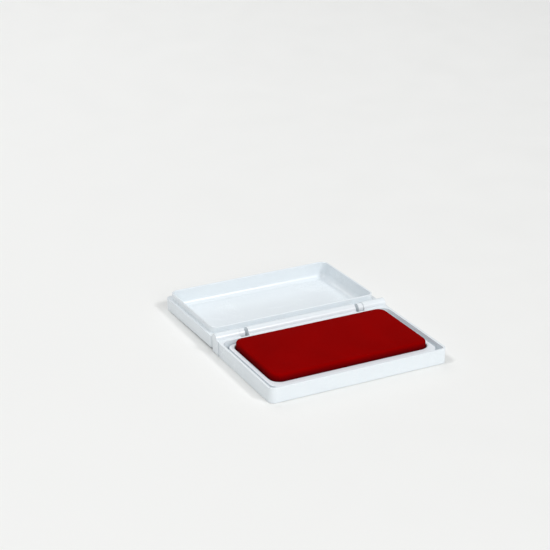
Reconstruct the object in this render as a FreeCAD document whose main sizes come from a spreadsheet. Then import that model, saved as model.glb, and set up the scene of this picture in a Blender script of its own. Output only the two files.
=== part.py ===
import FreeCAD, Part
import math
import os
import Sketcher

# Hinged ink pad: a shallow moulded case whose lid lies open behind it, and a cloth-covered felt pad in a
# tray inside the case. The frame has its origin at the centre of the case's underside, +Z up, +X along the
# long side and +Y towards the hinge.

SIZES = {
    # lower half of the case
    "case_width": 98.0,
    "case_depth": 59.4,
    "base_height": 8.0,
    "case_corner": 3.2,
    "case_corner_hinge": 2.0,
    "base_bottom_round": 0.5,
    "side_wall": 1.3,
    "hinge_side_wall": 1.1,
    "case_floor": 1.2,
    "seat_step_height": 3.4,
    "channel_corner": 1.9,
    "channel_corner_hinge": 4.5,
    "edge_round": 0.2,
    # lid
    "lid_height": 6.8,
    "lid_top_round": 0.8,
    "lid_skin": 1.2,
    "lid_ceiling_round": 3.0,
    "parting_gap": 0.05,
    "lip_inset": 1.75,
    "lip_inset_hinge": 1.5,
    "lip_wall": 1.0,
    "lip_height": 3.4,
    "lip_corner": 4.5,
    "lip_tip_chamfer": 0.3,
    "grip_bead_radius": 0.5,
    "grip_bead_proud": 0.3,
    "grip_bead_drop": 1.8,
    "grip_bead_length": 24.0,
    "open_angle": 181.045,
    # hinge
    "hinge_back": 4.1,
    "barrel_radius": 2.8,
    "end_barrel_length": 13.15,
    "web_thickness": 2.6,
    "web_overlap": 0.6,
    "cheek_reach": 2.2,
    "knuckle_play": 0.15,
    "knuckle_width": 2.8,
    "knuckle_radius": 2.6,
    "knuckle_slot": 1.85,
    "arm_thickness": 2.1,
    "arm_lift": 0.3,
    "pin_radius": 1.2,
    "pin_length": 1.6,
    "bore_clearance": 0.05,
    "bore_depth": 2.0,
    # pad tray
    "tray_inset": 3.1,
    "tray_inset_hinge": 3.3,
    "tray_play": 0.1,
    "tray_corner": 4.8,
    "tray_top": 6.8,
    "tray_floor": 1.0,
    "tray_edge_round": 0.3,
    "pocket_inset": 5.4,
    "pocket_inset_front": 7.0,
    "pocket_inset_hinge": 4.1,
    "pocket_corner": 5.6,
    # pad
    "pad_gap": 0.3,
    "pad_top": 10.5,
    "pad_corner": 5.3,
    "pad_edge_round": 1.2,
    "cover_thickness": 0.6,
    "fill_gap": 0.1,
    "plate_thickness": 1.0,
}

# Expressions that several pieces share.
HALF_WIDTH = "Sizes.case_width / 2"
HALF_DEPTH = "Sizes.case_depth / 2"
AXIS_Y = f"({HALF_DEPTH} + Sizes.hinge_back)"
AXIS_Z = "Sizes.base_height"
BARREL_INNER_X = f"({HALF_WIDTH} - Sizes.end_barrel_length)"
KNUCKLE_OUTER_X = f"({BARREL_INNER_X} - Sizes.knuckle_play)"
KNUCKLE_INNER_X = f"({KNUCKLE_OUTER_X} - Sizes.knuckle_width)"
LID_FACE_Z = "(Sizes.base_height + Sizes.parting_gap)"
LID_TOP_Z = f"({LID_FACE_Z} + Sizes.lid_height)"
LIP_TIP_Z = f"({LID_FACE_Z} - Sizes.lip_height)"
PAD_BOTTOM_Z = "(Sizes.case_floor + Sizes.tray_floor)"
COVER_CEILING_Z = "(Sizes.pad_top - Sizes.cover_thickness)"

doc = FreeCAD.newDocument("InkPad")
sheet = doc.addObject("Spreadsheet::Sheet", "Sizes")
for row, (alias, value) in enumerate(SIZES.items(), start=1):
    sheet.set(f"A{row}", alias)
    sheet.set(f"B{row}", str(value))
    sheet.setAlias(f"B{row}", alias)
doc.recompute()


def amount(expression):
    """Value of a sheet expression."""
    result = sheet.evalExpression(expression)
    return float(getattr(result, "Value", result))


def new_body(label):
    body = doc.addObject("PartDesign::Body", label)
    body.Label = label
    return body


def origin_plane(body, role):
    return next(item for item in body.Origin.OriginFeatures if item.Role == role)


def new_sketch(body, name, plane, offset="0"):
    """Sketch on one of the body's origin planes, moved along the plane's normal by an expression."""
    sketch = body.newObject("Sketcher::SketchObject", f"{body.Label}_{name}")
    sketch.AttachmentSupport = [(origin_plane(body, plane), "")]
    sketch.MapMode = "FlatFace"
    sketch.setExpression("AttachmentOffset.Base.z", offset)
    return sketch


def bind(sketch, kind, references, expression):
    """Dimension whose value follows an expression."""
    index = sketch.addConstraint(Sketcher.Constraint(kind, *references, amount(expression)))
    sketch.setExpression(f"Constraints[{index}]", expression)


def locate(sketch, kind, point, expression):
    """Distance of a sketch point from the sketch's origin along one axis, on either side of it."""
    if amount(expression) < 0:
        bind(sketch, kind, (*point, -1, 1), f"-({expression})")
    else:
        bind(sketch, kind, (-1, 1, *point), expression)


def rounded_outline(body, name, height, half_width, front, back, radius, back_radius=None):
    """Level rounded rectangle about the Y axis: half width, reach to the front and to the back, corners."""
    sketch = new_sketch(body, name, "XY_Plane", height)
    x, y0, y1 = amount(half_width), -amount(front), amount(back)
    corners = [(-x, y0), (x, y0), (x, y1), (-x, y1)]
    radii = [amount(radius)] * 2 + [amount(back_radius or radius)] * 2
    directions = [(1, 0), (0, 1), (-1, 0), (0, -1)]
    for index, (dx, dy) in enumerate(directions):
        (ax, ay), (bx, by) = corners[index], corners[(index + 1) % 4]
        ra, rb = radii[index], radii[(index + 1) % 4]
        start = FreeCAD.Vector(ax + ra * dx, ay + ra * dy, 0)
        end = FreeCAD.Vector(bx - rb * dx, by - rb * dy, 0)
        sketch.addGeometry(Part.LineSegment(start, end))
    for index, ((cx, cy), r) in enumerate(zip(corners, radii)):
        centre = FreeCAD.Vector(cx - math.copysign(r, cx), cy - math.copysign(r, cy), 0)
        first = math.pi + index * math.pi / 2
        circle = Part.Circle(centre, FreeCAD.Vector(0, 0, 1), r)
        sketch.addGeometry(Part.ArcOfCircle(circle, first, first + math.pi / 2))
    for index in range(4):
        arc = 4 + (index + 1) % 4
        sketch.addConstraint(Sketcher.Constraint("Tangent", index, 2, arc, 1))
        sketch.addConstraint(Sketcher.Constraint("Tangent", arc, 2, (index + 1) % 4, 1))
        sketch.addConstraint(Sketcher.Constraint("Horizontal" if index % 2 == 0 else "Vertical", index))
    for left_arc, right_arc in ((4, 5), (7, 6)):
        sketch.addConstraint(Sketcher.Constraint("Equal", left_arc, right_arc))
    bind(sketch, "Radius", (4,), radius)
    bind(sketch, "Radius", (6,), back_radius or radius)
    locate(sketch, "DistanceX", (1, 1), half_width)
    locate(sketch, "DistanceX", (3, 1), f"-({half_width})")
    locate(sketch, "DistanceY", (0, 1), f"-({front})")
    locate(sketch, "DistanceY", (2, 1), back)
    return sketch


def disc(body, name, offset, radius, centre_y=AXIS_Y, centre_z=AXIS_Z):
    """Circle on an upright plane across the case, by default centred on the hinge axis."""
    sketch = new_sketch(body, name, "YZ_Plane", offset)
    centre = FreeCAD.Vector(amount(centre_y), amount(centre_z), 0)
    sketch.addGeometry(Part.Circle(centre, FreeCAD.Vector(0, 0, 1), amount(radius)))
    bind(sketch, "Radius", (0,), radius)
    locate(sketch, "DistanceX", (0, 3), centre_y)
    locate(sketch, "DistanceY", (0, 3), centre_z)
    return sketch


def block(body, name, offset, near, far, low, high):
    """Rectangle on an upright plane across the case, from near to far in y and from low to high in z."""
    sketch = new_sketch(body, name, "YZ_Plane", offset)
    y0, y1, z0, z1 = (amount(item) for item in (near, far, low, high))
    corners = [FreeCAD.Vector(y, z, 0) for y, z in ((y0, z0), (y1, z0), (y1, z1), (y0, z1))]
    for index in range(4):
        sketch.addGeometry(Part.LineSegment(corners[index], corners[(index + 1) % 4]))
    for index in range(4):
        sketch.addConstraint(Sketcher.Constraint("Coincident", index, 2, (index + 1) % 4, 1))
        sketch.addConstraint(Sketcher.Constraint("Horizontal" if index % 2 == 0 else "Vertical", index))
    locate(sketch, "DistanceX", (0, 1), near)
    locate(sketch, "DistanceX", (1, 1), far)
    locate(sketch, "DistanceY", (0, 1), low)
    locate(sketch, "DistanceY", (2, 1), high)
    return sketch


def extrude(kind, sketch, length, reverse=False, midplane=False):
    """Pad or Pocket of a sketch, checked to add or remove material."""
    body = sketch.getParentGeoFeatureGroup()
    before = 0.0 if body.Shape.isNull() else body.Shape.Volume
    feature = body.newObject(f"PartDesign::{kind}", f"{sketch.Label}_{kind.lower()}")
    feature.Profile = sketch
    feature.Reversed = reverse
    feature.Midplane = midplane
    feature.setExpression("Length", length)
    doc.recompute()
    change = body.Shape.Volume - before
    if (change > 0) != (kind == "Pad") or abs(change) < 1e-3:
        raise RuntimeError(f"{feature.Label} changed the volume by {change:.4f} mm3")
    return feature


def mirror(originals):
    """Mirror image of features across the middle of the case."""
    body = originals[0].getParentGeoFeatureGroup()
    before = body.Shape.Volume
    feature = body.newObject("PartDesign::Mirrored", f"{originals[0].Label}_mirrored")
    feature.Originals = originals
    feature.MirrorPlane = (origin_plane(body, "YZ_Plane"), [""])
    body.Tip = feature
    doc.recompute()
    if body.Shape.Volume - before < 1e-3:
        raise RuntimeError(f"{feature.Label} added nothing")


def level_edges(body, height):
    """Names of the body's edges that lie at one height."""
    names = []
    for index, edge in enumerate(body.Shape.Edges, start=1):
        box = edge.BoundBox
        if max(abs(box.ZMin - height), abs(box.ZMax - height)) < 1e-4:
            names.append(f"Edge{index}")
    return names


def round_edges(body, edges, size, kind="Fillet"):
    """Fillet or chamfer on edges of the body as it stands."""
    base = body.Tip
    feature = body.newObject(f"PartDesign::{kind}", f"{body.Label}_{kind.lower()}")
    feature.Base = (base, edges)
    feature.setExpression("Radius" if kind == "Fillet" else "Size", size)
    doc.recompute()


def make_base_shell():
    """Lower half of the case: a stepped well for the tray and the lid's lip, and the hinge's barrels."""
    body = new_body("base_shell")
    outer = rounded_outline(
        body, "outer", "0", HALF_WIDTH, HALF_DEPTH, HALF_DEPTH,
        "Sizes.case_corner", "Sizes.case_corner_hinge",
    )
    extrude("Pad", outer, "Sizes.base_height")
    round_edges(body, level_edges(body, 0.0), "Sizes.base_bottom_round")
    lip_channel = rounded_outline(
        body, "lip_channel", "Sizes.base_height",
        f"{HALF_WIDTH} - Sizes.side_wall",
        f"{HALF_DEPTH} - Sizes.side_wall",
        f"{HALF_DEPTH} - Sizes.hinge_side_wall",
        "Sizes.channel_corner",
        "Sizes.channel_corner_hinge",
    )
    extrude("Pocket", lip_channel, "Sizes.base_height - Sizes.seat_step_height")
    round_edges(body, level_edges(body, amount("Sizes.base_height")), "Sizes.edge_round")
    tray_seat = rounded_outline(
        body, "tray_seat", "Sizes.seat_step_height",
        f"{HALF_WIDTH} - Sizes.tray_inset + Sizes.tray_play",
        f"{HALF_DEPTH} - Sizes.tray_inset + Sizes.tray_play",
        f"{HALF_DEPTH} - Sizes.tray_inset_hinge + Sizes.tray_play",
        "Sizes.tray_corner",
    )
    extrude("Pocket", tray_seat, "Sizes.seat_step_height - Sizes.case_floor")
    web = (f"{HALF_DEPTH} - Sizes.web_overlap", AXIS_Y, f"{AXIS_Z} - Sizes.web_thickness", AXIS_Z)
    end_barrel = disc(body, "end_barrel", BARREL_INNER_X, "Sizes.barrel_radius")
    end_web = block(body, "end_web", BARREL_INNER_X, *web)
    end_cheek = block(
        body, "end_cheek", f"{HALF_WIDTH} - Sizes.side_wall",
        f"{HALF_DEPTH} - Sizes.web_overlap", f"{AXIS_Y} + Sizes.cheek_reach",
        "Sizes.base_bottom_round", AXIS_Z,
    )
    bore = disc(body, "pin_bore", BARREL_INNER_X, "Sizes.pin_radius + Sizes.bore_clearance")
    mirror([
        extrude("Pad", end_barrel, "Sizes.end_barrel_length"),
        extrude("Pad", end_web, "Sizes.end_barrel_length"),
        extrude("Pad", end_cheek, "Sizes.side_wall"),
        extrude("Pocket", bore, "Sizes.bore_depth", reverse=True),
    ])
    middle_length = f"2 * ({KNUCKLE_INNER_X} - Sizes.knuckle_slot)"
    middle_barrel = disc(body, "middle_barrel", "0", "Sizes.barrel_radius")
    extrude("Pad", middle_barrel, middle_length, midplane=True)
    extrude("Pad", block(body, "middle_web", "0", *web), middle_length, midplane=True)
    return body


def make_lid_shell():
    """Upper half of the case, drawn shut and then turned open about the hinge axis."""
    body = new_body("lid_shell")
    outer = rounded_outline(
        body, "outer", LID_FACE_Z, HALF_WIDTH, HALF_DEPTH, HALF_DEPTH,
        "Sizes.case_corner", "Sizes.case_corner_hinge",
    )
    extrude("Pad", outer, "Sizes.lid_height")
    round_edges(body, level_edges(body, amount(LID_TOP_Z)), "Sizes.lid_top_round")
    round_edges(body, level_edges(body, amount(LID_FACE_Z)), "Sizes.edge_round")
    lip = rounded_outline(
        body, "lip", LID_FACE_Z,
        f"{HALF_WIDTH} - Sizes.lip_inset",
        f"{HALF_DEPTH} - Sizes.lip_inset",
        f"{HALF_DEPTH} - Sizes.lip_inset_hinge",
        "Sizes.lip_corner",
    )
    extrude("Pad", lip, "Sizes.lip_height", reverse=True)
    bead = disc(
        body, "grip_bead", "0", "Sizes.grip_bead_radius",
        f"Sizes.lip_inset - {HALF_DEPTH} - Sizes.grip_bead_proud + Sizes.grip_bead_radius",
        "Sizes.base_height - Sizes.grip_bead_drop",
    )
    extrude("Pad", bead, "Sizes.grip_bead_length", midplane=True)
    hollow = rounded_outline(
        body, "hollow", LIP_TIP_Z,
        f"{HALF_WIDTH} - Sizes.lip_inset - Sizes.lip_wall",
        f"{HALF_DEPTH} - Sizes.lip_inset - Sizes.lip_wall",
        f"{HALF_DEPTH} - Sizes.lip_inset_hinge - Sizes.lip_wall",
        "Sizes.lip_corner - Sizes.lip_wall",
    )
    extrude("Pocket", hollow, "Sizes.lip_height + Sizes.lid_height - Sizes.lid_skin", reverse=True)
    round_edges(body, level_edges(body, amount(f"{LID_TOP_Z} - Sizes.lid_skin")), "Sizes.lid_ceiling_round")
    round_edges(body, level_edges(body, amount(LIP_TIP_Z)), "Sizes.lip_tip_chamfer", kind="Chamfer")
    knuckle = disc(body, "knuckle", KNUCKLE_INNER_X, "Sizes.knuckle_radius")
    arm = block(
        body, "arm", KNUCKLE_INNER_X,
        f"{HALF_DEPTH} - Sizes.web_overlap", AXIS_Y,
        f"{AXIS_Z} + Sizes.arm_lift", f"{AXIS_Z} + Sizes.arm_lift + Sizes.arm_thickness",
    )
    pin = disc(body, "pin", KNUCKLE_OUTER_X, "Sizes.pin_radius")
    mirror([
        extrude("Pad", knuckle, "Sizes.knuckle_width"),
        extrude("Pad", arm, "Sizes.knuckle_width"),
        extrude("Pad", pin, "Sizes.pin_length"),
    ])
    body.setExpression("Placement", (
        f"placement(vector(0; 0; 0); rotation(vector(1; 0; 0); -Sizes.open_angle); "
        f"vector(0; {AXIS_Y}; {AXIS_Z}))"
    ))
    return body


def make_pad_tray():
    """Shallow tray with a rounded rim, which holds the pad in the base's well."""
    body = new_body("pad_tray")
    outer = rounded_outline(
        body, "outer", "Sizes.case_floor",
        f"{HALF_WIDTH} - Sizes.tray_inset",
        f"{HALF_DEPTH} - Sizes.tray_inset",
        f"{HALF_DEPTH} - Sizes.tray_inset_hinge",
        "Sizes.tray_corner",
    )
    extrude("Pad", outer, "Sizes.tray_top - Sizes.case_floor")
    pocket = rounded_outline(
        body, "pocket", "Sizes.tray_top",
        f"{HALF_WIDTH} - Sizes.pocket_inset",
        f"{HALF_DEPTH} - Sizes.pocket_inset_front",
        f"{HALF_DEPTH} - Sizes.pocket_inset_hinge",
        "Sizes.pocket_corner",
    )
    extrude("Pocket", pocket, f"Sizes.tray_top - {PAD_BOTTOM_Z}")
    round_edges(body, level_edges(body, amount("Sizes.tray_top")), "Sizes.tray_edge_round")
    return body


def pad_outline(body, name, height, shrink):
    """The pad's outline, drawn in by a distance from the cover's outer face."""
    return rounded_outline(
        body, name, height,
        f"{HALF_WIDTH} - Sizes.pocket_inset - Sizes.pad_gap - {shrink}",
        f"{HALF_DEPTH} - Sizes.pocket_inset_front - Sizes.pad_gap - {shrink}",
        f"{HALF_DEPTH} - Sizes.pocket_inset_hinge - Sizes.pad_gap - {shrink}",
        f"Sizes.pad_corner - {shrink}",
    )


def make_pad_cover():
    """Cloth over the pad's top and sides, a cap that is open underneath."""
    body = new_body("pad_cover")
    extrude("Pad", pad_outline(body, "outer", PAD_BOTTOM_Z, "0"), f"Sizes.pad_top - {PAD_BOTTOM_Z}")
    round_edges(body, level_edges(body, amount("Sizes.pad_top")), "Sizes.pad_edge_round")
    inside = pad_outline(body, "inside", PAD_BOTTOM_Z, "Sizes.cover_thickness")
    extrude("Pocket", inside, f"{COVER_CEILING_Z} - {PAD_BOTTOM_Z}", reverse=True)
    ceiling = level_edges(body, amount(COVER_CEILING_Z))
    round_edges(body, ceiling, "Sizes.pad_edge_round - Sizes.cover_thickness")
    return body


def make_backing_plate():
    """Stiff plate under the felt, which the cloth is drawn down around."""
    body = new_body("backing_plate")
    sketch = pad_outline(body, "outer", PAD_BOTTOM_Z, "(Sizes.cover_thickness + Sizes.fill_gap)")
    extrude("Pad", sketch, "Sizes.plate_thickness")
    return body


def make_ink_felt():
    """Thick felt block that stores the ink and presses the cloth up."""
    body = new_body("ink_felt")
    bottom = f"{PAD_BOTTOM_Z} + Sizes.plate_thickness"
    sketch = pad_outline(body, "outer", bottom, "(Sizes.cover_thickness + Sizes.fill_gap)")
    extrude("Pad", sketch, f"{COVER_CEILING_Z} - Sizes.fill_gap - ({bottom})")
    top = level_edges(body, amount(f"{COVER_CEILING_Z} - Sizes.fill_gap"))
    round_edges(body, top, "Sizes.pad_edge_round - Sizes.cover_thickness")
    return body


bodies = [
    make_base_shell(),
    make_lid_shell(),
    make_pad_tray(),
    make_pad_cover(),
    make_backing_plate(),
    make_ink_felt(),
]
doc.recompute()

for item in doc.Objects:
    if {"Invalid", "Error"} & set(item.State):
        raise RuntimeError(f"{item.Label} failed: {item.State}")
os.makedirs("parts", exist_ok=True)
for body in bodies:
    if body.Shape.isNull() or not body.Shape.isValid() or len(body.Shape.Solids) != 1:
        raise RuntimeError(f"{body.Label} is not one valid solid")
    body.Shape.exportStep(f"parts/{body.Label}.step")
    print(f"{body.Label}: {body.Shape.Volume:.1f} mm3, box {body.Shape.BoundBox}")
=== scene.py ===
import math

import bmesh
import bpy
from mathutils import Matrix, Vector


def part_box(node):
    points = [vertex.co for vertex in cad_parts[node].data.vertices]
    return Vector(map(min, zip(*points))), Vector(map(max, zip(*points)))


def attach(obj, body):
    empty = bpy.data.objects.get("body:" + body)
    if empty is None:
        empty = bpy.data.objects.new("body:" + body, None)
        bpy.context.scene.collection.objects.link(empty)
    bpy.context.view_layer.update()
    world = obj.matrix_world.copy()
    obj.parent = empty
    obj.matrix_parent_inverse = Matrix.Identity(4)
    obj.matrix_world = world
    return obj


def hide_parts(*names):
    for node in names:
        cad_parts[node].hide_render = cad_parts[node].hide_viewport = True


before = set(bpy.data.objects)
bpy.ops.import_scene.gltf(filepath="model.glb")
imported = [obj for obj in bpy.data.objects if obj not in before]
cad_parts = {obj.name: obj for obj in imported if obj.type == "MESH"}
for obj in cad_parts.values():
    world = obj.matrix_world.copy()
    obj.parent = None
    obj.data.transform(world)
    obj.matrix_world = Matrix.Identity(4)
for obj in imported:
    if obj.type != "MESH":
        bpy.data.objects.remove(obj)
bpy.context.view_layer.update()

MM = 0.001

CASE_WHITE = (0.79, 0.84, 0.87)
CASE_WHITE_DEEP = (0.775, 0.825, 0.86)
TRAY_WHITE = (0.79, 0.83, 0.87)
TRAY_WHITE_DEEP = (0.77, 0.815, 0.855)
PLATE_GREY = (0.55, 0.56, 0.58)
PLATE_GREY_DEEP = (0.5, 0.51, 0.54)
INK_RED = (0.268, 0.0003, 0.0003)
INK_RED_WET = (0.228, 0.0003, 0.0003)
# INK_RED_DEEP is the felt's own colour; on the cloth it is also the painted shade down the pad's sides
INK_RED_DEEP = (0.11, 0.001, 0.0025)

# the pad's form, as in the CAD model
PAD_CORNER = 5.3 * MM
PAD_EDGE = 1.2 * MM
FELT_CORNER = PAD_CORNER - 0.8 * MM
ARC_STEPS = 6

# the cloth step: it runs on an enlarged copy, and its swelling is cut back to a cap
PAD_PRESSURE = 4.0
CLOTH_SCALE = 10.0
CLOTH_FRAMES = 20
CLOTH_PUFF = 0.22 * MM
FELT_PUFF = 0.1 * MM

# the Mix node's factor, first colour and second colour sockets, and its colour output
MIX_FACTOR, MIX_FIRST, MIX_SECOND, MIX_RESULT = 0, 6, 7, 2

# ---------------------------------------------------------------- camera, floor and light

CAMERA_AIM = Vector((0.0240, 0.1117, 0.0))
CAMERA_AZIMUTH = math.radians(-26.35)
CAMERA_ELEVATION = math.radians(22.57)
CAMERA_ROLL = math.radians(-0.52)
CAMERA_DISTANCE = 0.8681
CAMERA_LENS = 100.4
CAMERA_SENSOR = 36.0


def direction(azimuth, elevation):
    """Unit vector from the object towards a viewer or a lamp; azimuth 0 is in front of the case."""
    level = math.cos(elevation)
    return Vector((math.sin(azimuth) * level, -math.cos(azimuth) * level, math.sin(elevation)))


def add_camera():
    data = bpy.data.cameras.new("camera")
    data.lens = CAMERA_LENS
    data.sensor_width = CAMERA_SENSOR
    camera = bpy.data.objects.new("camera", data)
    bpy.context.collection.objects.link(camera)
    offset = direction(CAMERA_AZIMUTH, CAMERA_ELEVATION) * CAMERA_DISTANCE
    turn = (-offset).to_track_quat("-Z", "Y").to_matrix().to_4x4() @ Matrix.Rotation(CAMERA_ROLL, 4, "Z")
    camera.matrix_world = Matrix.Translation(CAMERA_AIM + offset) @ turn
    bpy.context.scene.camera = camera


def add_softbox(name, azimuth, elevation, distance, size, watts):
    """Round white lamp that faces the case's centre."""
    data = bpy.data.lights.new(name, "AREA")
    data.shape = "DISK"
    data.size = size
    data.energy = watts
    lamp = bpy.data.objects.new(name, data)
    bpy.context.collection.objects.link(lamp)
    offset = direction(math.radians(azimuth), math.radians(elevation)) * distance
    lamp.location = CASE_CENTRE + offset
    lamp.rotation_euler = (-offset).to_track_quat("-Z", "Y").to_euler()


def add_world(strength, colour):
    world = bpy.data.worlds.new("studio")
    world.use_nodes = True
    background = world.node_tree.nodes["Background"]
    background.inputs["Color"].default_value = (*colour, 1.0)
    background.inputs["Strength"].default_value = strength
    bpy.context.scene.world = world


def add_floor(half_size):
    mesh = bpy.data.meshes.new("floor")
    corners = [(-half_size, -half_size, 0), (half_size, -half_size, 0)]
    corners += [(half_size, half_size, 0), (-half_size, half_size, 0)]
    mesh.from_pydata(corners, [], [(0, 1, 2, 3)])
    floor = bpy.data.objects.new("floor", mesh)
    bpy.context.collection.objects.link(floor)
    floor.data.materials.append(floor_paint())


# ---------------------------------------------------------------- materials

def paint(node, material):
    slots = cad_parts[node].data.materials
    slots.clear()
    slots.append(material)


class Material:
    """A node material on the Principled shader, with short helpers to add and join nodes."""

    def __init__(self, name, colour, roughness, **sockets):
        self.material = bpy.data.materials.new(name)
        self.material.use_nodes = True
        self.tree = self.material.node_tree
        self.shader = self.tree.nodes["Principled BSDF"]
        self.shader.inputs["Base Color"].default_value = (*colour, 1.0)
        self.shader.inputs["Roughness"].default_value = roughness
        for socket, value in sockets.items():
            self.shader.inputs[socket].default_value = value
        self.place = self.node("ShaderNodeTexCoord").outputs["Object"]

    def node(self, kind, **settings):
        node = self.tree.nodes.new(kind)
        for name, value in settings.items():
            setattr(node, name, value)
        return node

    def join(self, source, target):
        self.tree.links.new(source, target)

    def noise(self, scale, detail=2.0, roughness=0.5, distortion=0.0):
        node = self.node("ShaderNodeTexNoise")
        node.inputs["Scale"].default_value = scale
        node.inputs["Detail"].default_value = detail
        node.inputs["Roughness"].default_value = roughness
        node.inputs["Distortion"].default_value = distortion
        self.join(self.place, node.inputs["Vector"])
        return node.outputs["Fac"]

    def spread(self, source, low, high, start=0.3, end=0.7):
        """Maps a texture's range from start to end onto low to high."""
        node = self.node("ShaderNodeMapRange")
        for name, value in zip(("From Min", "From Max", "To Min", "To Max"), (start, end, low, high)):
            node.inputs[name].default_value = value
        self.join(source, node.inputs["Value"])
        return node.outputs["Result"]

    def math(self, operation, first, second=None):
        node = self.node("ShaderNodeMath", operation=operation)
        for socket, value in zip(node.inputs, (first, second)):
            if isinstance(value, (int, float)):
                socket.default_value = value
            elif value is not None:
                self.join(value, socket)
        return node.outputs["Value"]

    def mix_colour(self, factor, first, second):
        node = self.node("ShaderNodeMix", data_type="RGBA")
        node.inputs[MIX_FIRST].default_value = (*first, 1.0)
        node.inputs[MIX_SECOND].default_value = (*second, 1.0)
        self.join(factor, node.inputs[MIX_FACTOR])
        return node.outputs[MIX_RESULT]

    def bump(self, height, distance, under=None):
        node = self.node("ShaderNodeBump")
        node.inputs["Distance"].default_value = distance
        self.join(height, node.inputs["Height"])
        if under is not None:
            self.join(under, node.inputs["Normal"])
        return node.outputs["Normal"]

    def edge_softening(self, radius):
        node = self.node("ShaderNodeBevel", samples=6)
        node.inputs["Radius"].default_value = radius
        return node.outputs["Normal"]

    def set_colour(self, source):
        self.join(source, self.shader.inputs["Base Color"])

    def set_roughness(self, source):
        self.join(source, self.shader.inputs["Roughness"])

    def set_normal(self, source):
        self.join(source, self.shader.inputs["Normal"])


def moulded_plastic(name, colour, deep_colour, gloss):
    """White injection-moulded plastic: fine satin grain, slow waviness, faint handling marks."""
    m = Material(name, colour, gloss, **{"IOR": 1.5, "Specular IOR Level": 0.5})
    m.set_colour(m.mix_colour(m.spread(m.noise(55.0, 3.0), 0.0, 1.0), colour, deep_colour))
    smudges = m.spread(m.noise(38.0, 4.0, 0.6, 0.8), gloss - 0.02, gloss + 0.04)
    m.set_roughness(m.math("ADD", smudges, m.spread(m.noise(2600.0, 1.0), -0.02, 0.02)))
    waves = m.bump(m.noise(45.0, 1.0), 0.03 * MM, under=m.edge_softening(0.18 * MM))
    m.set_normal(m.bump(m.noise(3200.0, 2.0), 0.004 * MM, under=waves))
    return m.material


def floor_paint():
    m = Material("floor_paint", (0.86, 0.86, 0.845), 0.6)
    m.set_colour(m.mix_colour(m.noise(6.0, 3.0), (0.865, 0.865, 0.85), (0.85, 0.85, 0.835)))
    m.set_roughness(m.spread(m.noise(30.0, 3.0), 0.55, 0.7))
    return m.material


def woven(m, pitch, depth, under=None):
    """Bump of a plain weave: two crossing sets of threads, a little uneven."""
    wobble = m.node("ShaderNodeVectorMath", operation="ADD")
    m.join(m.place, wobble.inputs[0])
    drift = m.node("ShaderNodeTexNoise")
    drift.inputs["Scale"].default_value = 160.0
    m.join(m.place, drift.inputs["Vector"])
    scaled = m.node("ShaderNodeVectorMath", operation="SCALE")
    scaled.inputs["Scale"].default_value = pitch * 1.2
    m.join(drift.outputs["Color"], scaled.inputs[0])
    m.join(scaled.outputs["Vector"], wobble.inputs[1])
    axes = m.node("ShaderNodeSeparateXYZ")
    m.join(wobble.outputs["Vector"], axes.inputs["Vector"])
    turns = math.tau / pitch
    warp = m.math("SINE", m.math("MULTIPLY", axes.outputs["X"], turns))
    weft = m.math("SINE", m.math("MULTIPLY", axes.outputs["Y"], turns))
    crossing = m.math("MULTIPLY", warp, weft)
    threads = m.math("ADD", m.math("ABSOLUTE", warp), m.math("ABSOLUTE", weft))
    height = m.math("ADD", crossing, threads)
    return m.bump(height, depth, under=under), crossing


def inked_cloth():
    """Plain-woven cloth soaked in dark red ink: matt, darker in patches, with painted shade that darkens
    it down the sides.
    """
    m = Material("inked_cloth", INK_RED, 0.85, **{
        "Specular IOR Level": 0.02,
        "Specular Tint": (1.0, 0.02, 0.02, 1.0),
        "Sheen Weight": 0.01,
        "Sheen Roughness": 0.5,
        "Sheen Tint": (1.0, 0.02, 0.02, 1.0),
    })
    patches = m.spread(m.noise(26.0, 3.0, 0.55, 0.6), 0.0, 1.0)
    top = m.mix_colour(patches, INK_RED, INK_RED_WET)
    # painted shade: the colour darkens towards the bottom of the pad's sides, from INK_RED_DEEP low down
    # to the top colour at 85 % of the height
    axes = m.node("ShaderNodeSeparateXYZ")
    m.join(m.place, axes.inputs["Vector"])
    low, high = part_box("pad_tray")[1][2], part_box("pad_cover")[1][2]
    height = m.spread(axes.outputs["Z"], 0.0, 1.0, low, low + 0.85 * (high - low))
    painted_side_shade = m.node("ShaderNodeMix", data_type="RGBA")
    painted_side_shade.inputs[MIX_FIRST].default_value = (*INK_RED_DEEP, 1.0)
    m.join(height, painted_side_shade.inputs[MIX_FACTOR])
    m.join(top, painted_side_shade.inputs[MIX_SECOND])
    m.set_colour(painted_side_shade.outputs[MIX_RESULT])
    folds = m.bump(m.noise(70.0, 2.0), 0.05 * MM)
    weave, crossing = woven(m, 0.55 * MM, 0.035 * MM, under=folds)
    m.set_roughness(m.spread(crossing, 0.78, 0.92, -1.0, 1.0))
    m.set_normal(weave)
    return m.material


def inked_felt():
    """Dense felt, darker than the cloth, with short tangled fibres."""
    m = Material("inked_felt", INK_RED_DEEP, 0.95, **{
        "Specular IOR Level": 0.04,
        "Sheen Weight": 0.1,
        "Sheen Tint": (1.0, 0.1, 0.1, 1.0),
    })
    fibres = m.noise(1500.0, 5.0, 0.7, 2.5)
    m.set_colour(m.mix_colour(m.spread(fibres, 0.0, 1.0), INK_RED_DEEP, INK_RED_WET))
    m.set_roughness(m.spread(fibres, 0.85, 1.0))
    m.set_normal(m.bump(fibres, 0.08 * MM))
    return m.material


# ---------------------------------------------------------------- the pad

def rounded_rectangle(low, high, radius, inset, steps=10):
    """Corner-rounded loop of points between two opposite corners, drawn in by inset."""
    r = max(radius - inset, 0.2 * MM)
    x0, y0, x1, y1 = low[0] + inset, low[1] + inset, high[0] - inset, high[1] - inset
    centres = ((x1 - r, y1 - r), (x0 + r, y1 - r), (x0 + r, y0 + r), (x1 - r, y0 + r))
    loop = []
    for quarter, (cx, cy) in enumerate(centres):
        for step in range(steps + 1):
            angle = (quarter + step / steps) * math.pi / 2
            loop.append((cx + r * math.cos(angle), cy + r * math.sin(angle)))
    return loop


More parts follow.
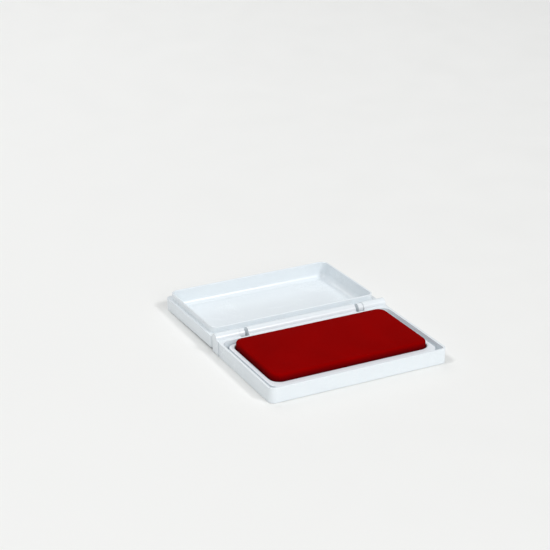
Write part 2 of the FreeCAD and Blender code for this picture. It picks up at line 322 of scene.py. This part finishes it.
def block_mesh(name, low, high, corner, edge):
    """Closed block with rounded corners and a rounded top edge."""
    rows = [(0.0, low[2]), (0.0, high[2] - edge)]
    rows += [(edge * (1 - math.cos(a)), high[2] - edge * (1 - math.sin(a)))
             for a in (math.pi / 2 * k / ARC_STEPS for k in range(1, ARC_STEPS + 1))]
    bm = bmesh.new()
    loops = []
    for inset, z in rows:
        loops.append([bm.verts.new((x, y, z)) for x, y in rounded_rectangle(low, high, corner, inset)])
    count = len(loops[0])
    for lower, upper in zip(loops, loops[1:]):
        for i in range(count):
            j = (i + 1) % count
            bm.faces.new((lower[i], lower[j], upper[j], upper[i]))
    bm.faces.new(loops[-1])
    bm.faces.new(reversed(loops[0]))
    mesh = bpy.data.meshes.new(name)
    bm.to_mesh(mesh)
    bm.free()
    return mesh


def add_object(name, mesh):
    piece = bpy.data.objects.new(name, mesh)
    bpy.context.collection.objects.link(piece)
    return piece


def apply_modifiers(piece):
    bpy.context.view_layer.update()
    result = bpy.data.meshes.new_from_object(piece.evaluated_get(bpy.context.evaluated_depsgraph_get()))
    result.name = piece.data.name
    piece.modifiers.clear()
    piece.data = result


def remesh(piece, size):
    modifier = piece.modifiers.new("remesh", "REMESH")
    modifier.mode = "VOXEL"
    modifier.voxel_size = size
    apply_modifiers(piece)


def inflate(piece, held_below, cap):
    """Puffs out a padded form with Blender's cloth, held still below a height.

    The pressure swells it well past cap, so cap sets the shape: a nearly even puff of that depth.
    """
    rest = [v.co.copy() for v in piece.data.vertices]
    for v in piece.data.vertices:
        v.co *= CLOTH_SCALE
    held = piece.vertex_groups.new(name="held")
    for v, co in zip(piece.data.vertices, rest):
        held.add([v.index], 1.0 if co.z < held_below else 0.0, "REPLACE")
    cloth = piece.modifiers.new("cloth", "CLOTH")
    cloth.settings.vertex_group_mass = "held"
    cloth.settings.use_pressure = True
    cloth.settings.uniform_pressure_force = PAD_PRESSURE
    cloth.settings.effector_weights.gravity = 0.0
    cloth.point_cache.frame_start = 1
    cloth.point_cache.frame_end = CLOTH_FRAMES
    scene = bpy.context.scene
    for step in range(1, CLOTH_FRAMES + 1):
        scene.frame_set(step)
    apply_modifiers(piece)
    scene.frame_set(1)
    for v, co in zip(piece.data.vertices, rest):
        move = v.co / CLOTH_SCALE - co
        if move.length > cap:
            move *= cap / move.length
        v.co = co + move
    piece.vertex_groups.clear()


def subdivide(piece):
    modifier = piece.modifiers.new("subdivision", "SUBSURF")
    modifier.levels = modifier.render_levels = 1
    apply_modifiers(piece)
    for polygon in piece.data.polygons:
        polygon.use_smooth = True


def open_underneath(piece, height):
    """Leaves only the cap of a closed form: everything that lies on its underside goes."""
    bm = bmesh.new()
    bm.from_mesh(piece.data)
    under = [f for f in bm.faces if f.normal.z < -0.5 and f.calc_center_median().z < height]
    bmesh.ops.delete(bm, geom=under, context="FACES")
    bm.to_mesh(piece.data)
    bm.free()


def thicken(piece, thickness):
    modifier = piece.modifiers.new("thickness", "SOLIDIFY")
    modifier.thickness = thickness
    modifier.offset = -1.0
    apply_modifiers(piece)


def make_pad_cloth():
    """Woven cover drawn tight over the felt, its edge tucked down inside the tray."""
    low, high = (Vector(c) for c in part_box("pad_cover"))
    low.z += 0.1 * MM
    slack = Vector((0.05, 0.05, 0.0)) * MM
    top = high - slack - Vector((0, 0, 0.05 * MM))
    piece = add_object("pad_cloth", block_mesh("pad_cloth", low + slack, top, PAD_CORNER, PAD_EDGE))
    remesh(piece, 0.9 * MM)
    inflate(piece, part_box("pad_tray")[1][2] - 0.8 * MM, CLOTH_PUFF)
    open_underneath(piece, low.z + 0.6 * MM)
    thicken(piece, 0.45 * MM)
    subdivide(piece)
    piece.data.materials.append(inked_cloth())
    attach(piece, "base")
    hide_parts("pad_cover")


def make_felt_block():
    """Ink-soaked felt under the cloth, its faces slightly uneven."""
    low, high = (Vector(c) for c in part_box("ink_felt"))
    inward = Vector((0.1, 0.1, 0.0)) * MM
    top = high - inward - Vector((0, 0, 0.3 * MM))
    piece = add_object("felt_block", block_mesh("felt_block", low + inward, top, FELT_CORNER, PAD_EDGE))
    remesh(piece, 1.2 * MM)
    inflate(piece, low.z + 0.8 * MM, FELT_PUFF)
    subdivide(piece)
    piece.data.materials.append(inked_felt())
    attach(piece, "base")
    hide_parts("ink_felt")


# ---------------------------------------------------------------- the scene

CASE_CENTRE = (Vector(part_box("base_shell")[0]) + Vector(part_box("base_shell")[1])) / 2

add_camera()
add_world(0.36, (0.97, 0.985, 1.0))
add_softbox("key", azimuth=26.0, elevation=40.0, distance=4.0, size=0.74, watts=55.0)
add_softbox("side_fill", azimuth=-95.0, elevation=58.0, distance=4.0, size=1.1, watts=43.0)
add_softbox("front_fill", azimuth=-5.0, elevation=28.0, distance=4.0, size=2.6, watts=40.0)
add_softbox("overhead", azimuth=180.0, elevation=45.0, distance=1.6, size=1.2, watts=5.4)
add_floor(3.0)
bpy.context.scene.view_settings.view_transform = "Standard"

case_plastic = moulded_plastic("case_plastic", CASE_WHITE, CASE_WHITE_DEEP, 0.24)
tray_plastic = moulded_plastic("tray_plastic", TRAY_WHITE, TRAY_WHITE_DEEP, 0.3)
plate_plastic = moulded_plastic("plate_plastic", PLATE_GREY, PLATE_GREY_DEEP, 0.5)
paint("base_shell", case_plastic)
paint("lid_shell", case_plastic)
paint("pad_tray", tray_plastic)
paint("backing_plate", plate_plastic)

make_pad_cloth()
make_felt_block()
